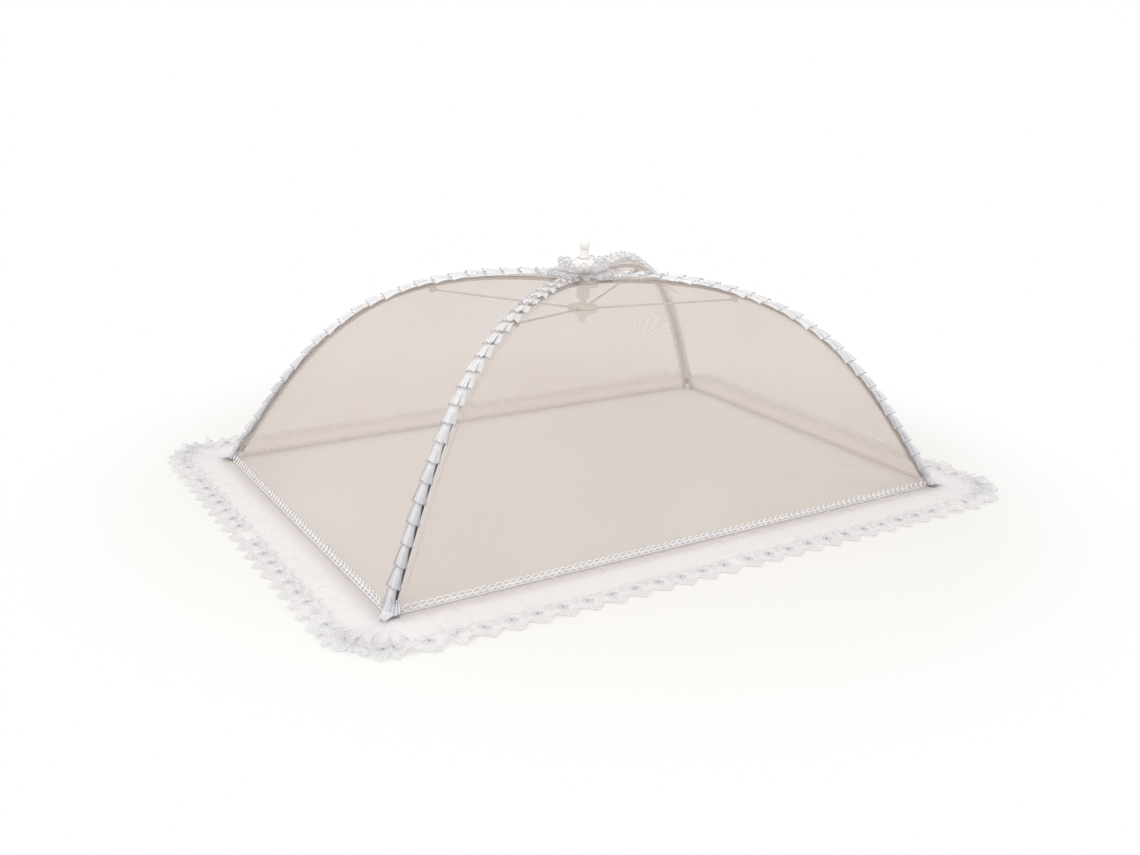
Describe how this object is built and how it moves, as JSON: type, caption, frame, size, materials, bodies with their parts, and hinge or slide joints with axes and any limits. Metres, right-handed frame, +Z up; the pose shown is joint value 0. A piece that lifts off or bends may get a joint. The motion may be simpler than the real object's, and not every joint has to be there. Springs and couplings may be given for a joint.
{
  "type": "mesh food cover umbrella",
  "caption": "Rectangular pop-up mesh food cover: net dome on folding wire ribs with stretchers and runner, pleated rib trims, lace hem and a lifting knob.",
  "frame": {"origin": "on the table, at the middle of the base, under the knob", "axes": "+X to the right along the long sides, +Y to the rear along the short sides, +Z up along the crown's axis"},
  "size_m": [0.726, 0.5436, 0.2413],
  "materials": {
    "white_plastic": "satin moulded",
    "spring_steel": "dark drawn wire",
    "stretcher_steel": "drawn wire",
    "net": "fine see-through mesh",
    "organza_trim": "pleated organza with silver edge",
    "silver_braid": "looped silver thread",
    "lace": "embroidered tulle"
  },
  "bodies": {
    "crown": {"hub": "white_plastic", "hub_ring": "spring_steel", "centre_post": "white_plastic", "crown_ruffle": "lace", "dome_cap": "white_plastic", "knob": "white_plastic"},
    "front_left_rib": {"rib_front_left": "spring_steel", "rib_tip_front_left": "white_plastic", "stretcher_clip_front_left": "stretcher_steel", "rib_trim_front_left": "organza_trim", "corner_gather_front_left": "lace", "front_net_left_half": "net", "left_net_front_half": "net", "front_hem_braid_left_half": "silver_braid", "left_hem_braid_front_half": "silver_braid", "front_lace_left_half": "lace", "left_lace_front_half": "lace"},
    "front_left_stretcher": {"stretcher_front_left": "stretcher_steel"},
    "front_right_rib": {"rib_front_right": "spring_steel", "rib_tip_front_right": "white_plastic", "stretcher_clip_front_right": "stretcher_steel", "rib_trim_front_right": "organza_trim", "corner_gather_front_right": "lace", "front_net_right_half": "net", "right_net_front_half": "net", "front_hem_braid_right_half": "silver_braid", "right_hem_braid_front_half": "silver_braid", "front_lace_right_half": "lace", "right_lace_front_half": "lace"},
    "front_right_stretcher": {"stretcher_front_right": "stretcher_steel"},
    "rear_right_rib": {"rib_rear_right": "spring_steel", "rib_tip_rear_right": "white_plastic", "stretcher_clip_rear_right": "stretcher_steel", "rib_trim_rear_right": "organza_trim", "corner_gather_rear_right": "lace", "rear_net_right_half": "net", "right_net_rear_half": "net", "rear_hem_braid_right_half": "silver_braid", "right_hem_braid_rear_half": "silver_braid", "rear_lace_right_half": "lace", "right_lace_rear_half": "lace"},
    "rear_right_stretcher": {"stretcher_rear_right": "stretcher_steel"},
    "rear_left_rib": {"rib_rear_left": "spring_steel", "rib_tip_rear_left": "white_plastic", "stretcher_clip_rear_left": "stretcher_steel", "rib_trim_rear_left": "organza_trim", "corner_gather_rear_left": "lace", "rear_net_left_half": "net", "left_net_rear_half": "net", "rear_hem_braid_left_half": "silver_braid", "left_hem_braid_rear_half": "silver_braid", "rear_lace_left_half": "lace", "left_lace_rear_half": "lace"},
    "rear_left_stretcher": {"stretcher_rear_left": "stretcher_steel"},
    "runner": {"runner": "white_plastic", "runner_ring": "spring_steel"}
  },
  "joints": [
    {"name": "fold_front_left", "type": "hinge", "parent": "crown", "child": "front_left_rib", "pos_m": [-0.00993, -0.00673, 0.2], "axis": [0.5608, -0.8279, 0], "range_deg": [0, 58], "deforming": ["front_net_left_half", "left_net_front_half", "front_hem_braid_left_half", "left_hem_braid_front_half", "front_lace_left_half", "left_lace_front_half", "corner_gather_front_left"]},
    {"name": "stretch_front_left", "type": "hinge", "parent": "front_left_rib", "child": "front_left_stretcher", "pos_m": [-0.12315, -0.08342, 0.18708], "axis": [0.5608, -0.8279, 0], "range_deg": [-116, 0]},
    {"name": "fold_front_right", "type": "hinge", "parent": "crown", "child": "front_right_rib", "pos_m": [0.00993, -0.00673, 0.2], "axis": [0.5608, 0.8279, 0], "range_deg": [0, 58], "deforming": ["front_net_right_half", "right_net_front_half", "front_hem_braid_right_half", "right_hem_braid_front_half", "front_lace_right_half", "right_lace_front_half", "corner_gather_front_right"]},
    {"name": "stretch_front_right", "type": "hinge", "parent": "front_right_rib", "child": "front_right_stretcher", "pos_m": [0.12315, -0.08342, 0.18708], "axis": [0.5608, 0.8279, 0], "range_deg": [-116, 0]},
    {"name": "fold_rear_right", "type": "hinge", "parent": "crown", "child": "rear_right_rib", "pos_m": [0.00993, 0.00673, 0.2], "axis": [-0.5608, 0.8279, 0], "range_deg": [0, 58], "deforming": ["rear_net_right_half", "right_net_rear_half", "rear_hem_braid_right_half", "right_hem_braid_rear_half", "rear_lace_right_half", "right_lace_rear_half", "corner_gather_rear_right"]},
    {"name": "stretch_rear_right", "type": "hinge", "parent": "rear_right_rib", "child": "rear_right_stretcher", "pos_m": [0.12315, 0.08342, 0.18708], "axis": [-0.5608, 0.8279, 0], "range_deg": [-116, 0]},
    {"name": "fold_rear_left", "type": "hinge", "parent": "crown", "child": "rear_left_rib", "pos_m": [-0.00993, 0.00673, 0.2], "axis": [-0.5608, -0.8279, 0], "range_deg": [0, 58], "deforming": ["rear_net_left_half", "left_net_rear_half", "rear_hem_braid_left_half", "left_hem_braid_rear_half", "rear_lace_left_half", "left_lace_rear_half", "corner_gather_rear_left"]},
    {"name": "stretch_rear_left", "type": "hinge", "parent": "rear_left_rib", "child": "rear_left_stretcher", "pos_m": [-0.12315, 0.08342, 0.18708], "axis": [-0.5608, -0.8279, 0], "range_deg": [-116, 0]},
    {"name": "runner_tilt", "type": "hinge", "parent": "front_left_stretcher", "child": "runner", "pos_m": [-0.00993, -0.00673, 0.17416], "axis": [0.5608, -0.8279, 0], "range_deg": [0, 58]}
  ],
  "couplings": [
    {"joint": "stretch_front_left", "follows": "fold_front_left", "ratio": -2},
    {"joint": "fold_front_right", "follows": "fold_front_left", "ratio": 1},
    {"joint": "stretch_front_right", "follows": "fold_front_left", "ratio": -2},
    {"joint": "fold_rear_right", "follows": "fold_front_left", "ratio": 1},
    {"joint": "stretch_rear_right", "follows": "fold_front_left", "ratio": -2},
    {"joint": "fold_rear_left", "follows": "fold_front_left", "ratio": 1},
    {"joint": "stretch_rear_left", "follows": "fold_front_left", "ratio": -2},
    {"joint": "runner_tilt", "follows": "fold_front_left", "ratio": 1}
  ]
}
